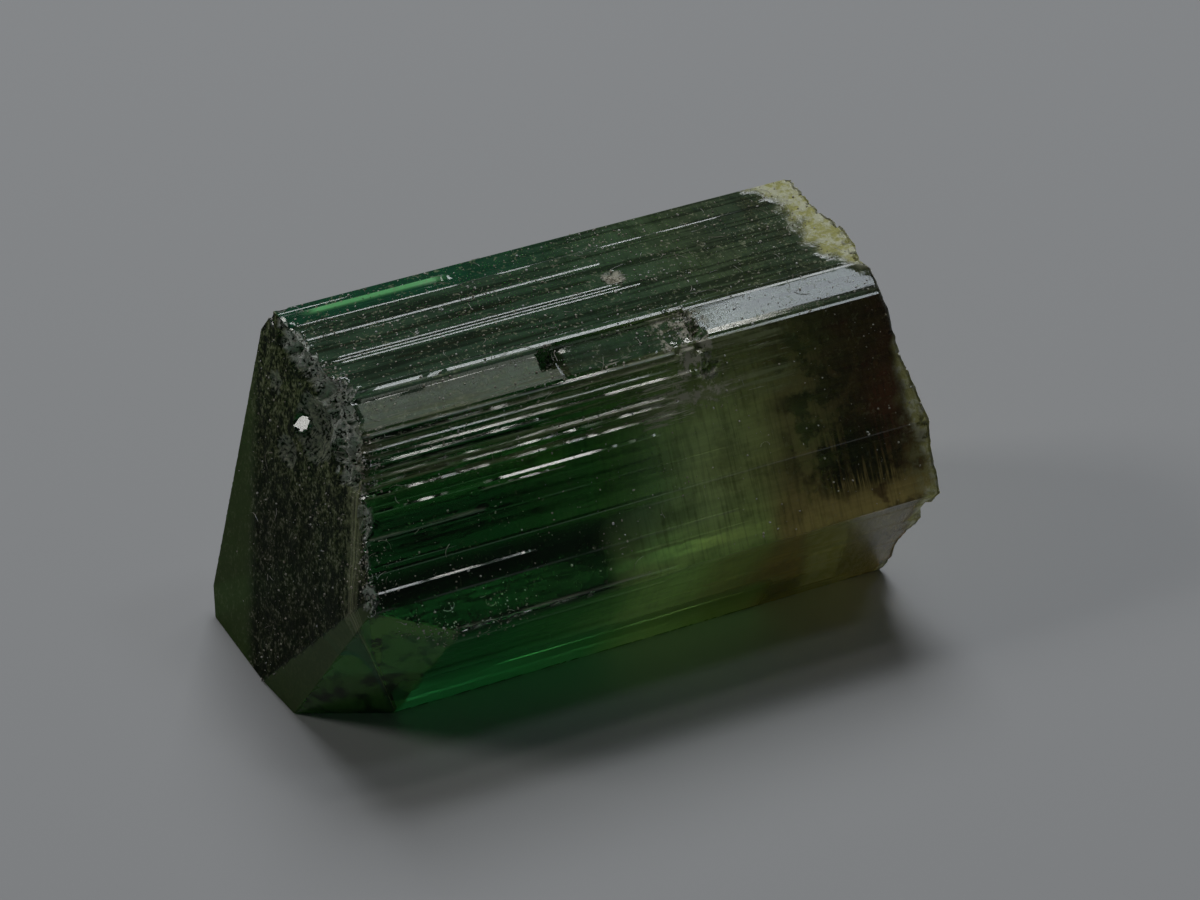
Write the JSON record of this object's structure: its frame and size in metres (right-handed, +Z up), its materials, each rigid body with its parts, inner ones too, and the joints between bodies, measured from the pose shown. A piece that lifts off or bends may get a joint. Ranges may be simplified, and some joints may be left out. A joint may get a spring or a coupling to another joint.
{
  "type": "tourmaline crystal",
  "caption": "Short, thick prismatic crystal with lengthwise ridges, a frosted natural end, a chipped junction and a broken far end, lying on a flat prism face",
  "frame": {"origin": "on the table under the middle of the crystal's bounding box", "axes": "X along the crystal axis from the natural end (-X) to the broken end (+X); Z up; Y from the wide front edge (-Y) to the upright back face (+Y)"},
  "size_m": [0.0199, 0.0096, 0.0106],
  "materials": {
    "green_tourmaline": "clear dark green crystal with shiny ridged faces; the natural end is frosted and the broken end is rough and pale at its rim"
  },
  "bodies": {
    "root": {"tourmaline_crystal": "green_tourmaline"}
  },
  "joints": []
}
